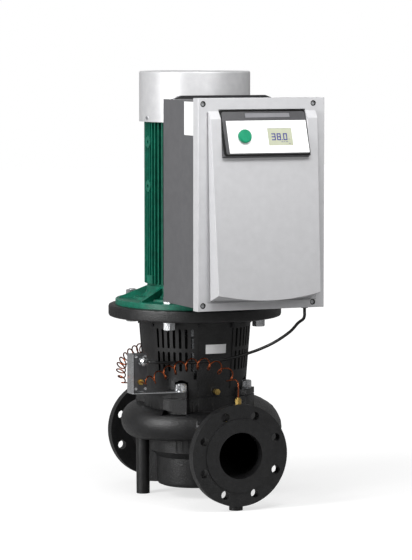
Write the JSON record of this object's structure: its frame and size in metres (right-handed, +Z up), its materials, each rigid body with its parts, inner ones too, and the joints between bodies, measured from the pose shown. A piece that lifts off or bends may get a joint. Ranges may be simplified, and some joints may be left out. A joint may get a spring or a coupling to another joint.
{
  "type": "in-line circulation pump",
  "caption": "Vertical in-line centrifugal pump with a spiral casing, flanged pipe ports, finned motor, frequency converter box and a pressure sensor with capillary tubes.",
  "frame": {"origin": "centre of the front flange's raised sealing face", "axes": "+Z up along the shaft; -Y out of the front port along the pipe axis; +X to the right as seen from in front of the converter"},
  "size_m": [0.3967, 0.65, 0.9364],
  "materials": {
    "cast_iron": "black paint over a rough casting",
    "impeller_iron": "bare casting",
    "rubber": "matt",
    "bronze": "turned",
    "brass": "turned",
    "copper": "drawn copper tube and winding wire",
    "black_sheet": "black powder coat",
    "black_screw": "blackened steel",
    "steel": "zinc plated or stainless",
    "bright_steel": "ground",
    "nickel": "nickel plated",
    "core_steel": "stacked electrical sheet",
    "motor_green": "semi-gloss green paint",
    "cowl_paint": "silver paint",
    "dark_aluminium": "black anodised",
    "grey_plastic": "matt grey",
    "light_plastic": "light grey, satin",
    "black_plastic": "matt",
    "panel_black": "satin black",
    "white_plastic": "satin white foil",
    "white_plate": "bare white label foil",
    "display_glass": "liquid crystal window",
    "knob_green": "satin green",
    "board": "coated circuit board",
    "ceramic": "lapped ceramic",
    "seal_carbon": "lapped carbon",
    "sensor_black": "matt black",
    "cable_black": "cable sheath"
  },
  "bodies": {
    "frame": {"pump_casing": "cast_iron", "casing_o_ring": "rubber", "wear_ring": "bronze", "drain_plug": "brass", "lantern": "cast_iron", "guard_front_left": "black_sheet", "guard_front_right": "black_sheet", "guard_rear_right": "black_sheet", "guard_rear_left": "black_sheet", "guard_screws": "black_screw", "casing_bolts": "steel", "motor_bolts": "steel", "motor_nuts": "steel", "lower_end_shield": "motor_green", "stator_housing": "motor_green", "upper_end_shield": "motor_green", "stator_core": "core_steel", "stator_winding": "copper", "bearing_outer_rings": "bright_steel", "bearing_balls": "bright_steel", "fan_cowl": "cowl_paint", "cowl_screws": "steel", "converter_adapter": "motor_green", "heat_sink": "dark_aluminium", "converter_body": "grey_plastic", "cover_gasket": "rubber", "converter_cover": "light_plastic", "cover_screws": "steel", "circuit_board": "board", "panel_frame": "panel_black", "panel_plate": "white_plastic", "display": "display_glass", "seal_seat": "ceramic", "sensor_bracket": "steel", "sensor_body": "sensor_black", "sensor_screws": "steel", "sensor_gland": "nickel", "sensor_fittings": "brass", "port_fittings": "brass", "capillary_front": "copper", "capillary_rear": "copper", "sensor_cable": "cable_black", "cable_gland": "sensor_black", "lantern_plate": "white_plate", "converter_plate": "white_plate"},
    "rotor": {"motor_shaft": "bright_steel", "rotor_core": "core_steel", "bearing_inner_rings": "bright_steel", "fan": "black_plastic", "stub_shaft": "bright_steel", "coupling_screws": "black_screw", "impeller": "impeller_iron", "impeller_nut": "steel", "seal_ring": "seal_carbon", "seal_bellows": "rubber"},
    "knob_stem": {"knob_stem": "steel"},
    "knob": {"knob": "knob_green"},
    "vent_screw": {"vent_screw": "brass"}
  },
  "joints": [
    {"name": "shaft_spin", "type": "hinge", "parent": "frame", "child": "rotor", "pos_m": [0, 0.25, 0.2], "axis": [0, 0, 1], "continuous": true},
    {"name": "knob_push", "type": "slide", "parent": "frame", "child": "knob_stem", "axis": [0, 0.9478, -0.319], "range_m": [0, 0.0015], "stiffness_N_per_m": 1200, "springref_m": -0.0005},
    {"name": "knob_turn", "type": "hinge", "parent": "knob_stem", "child": "knob", "pos_m": [-0.048, -0.12551, 0.68574], "axis": [0, -0.9478, 0.319], "continuous": true},
    {"name": "vent_turn", "type": "hinge", "parent": "frame", "child": "vent_screw", "pos_m": [0, 0.13, 0.123], "axis": [0, -1, 0], "range_deg": [0, 180]}
  ]
}
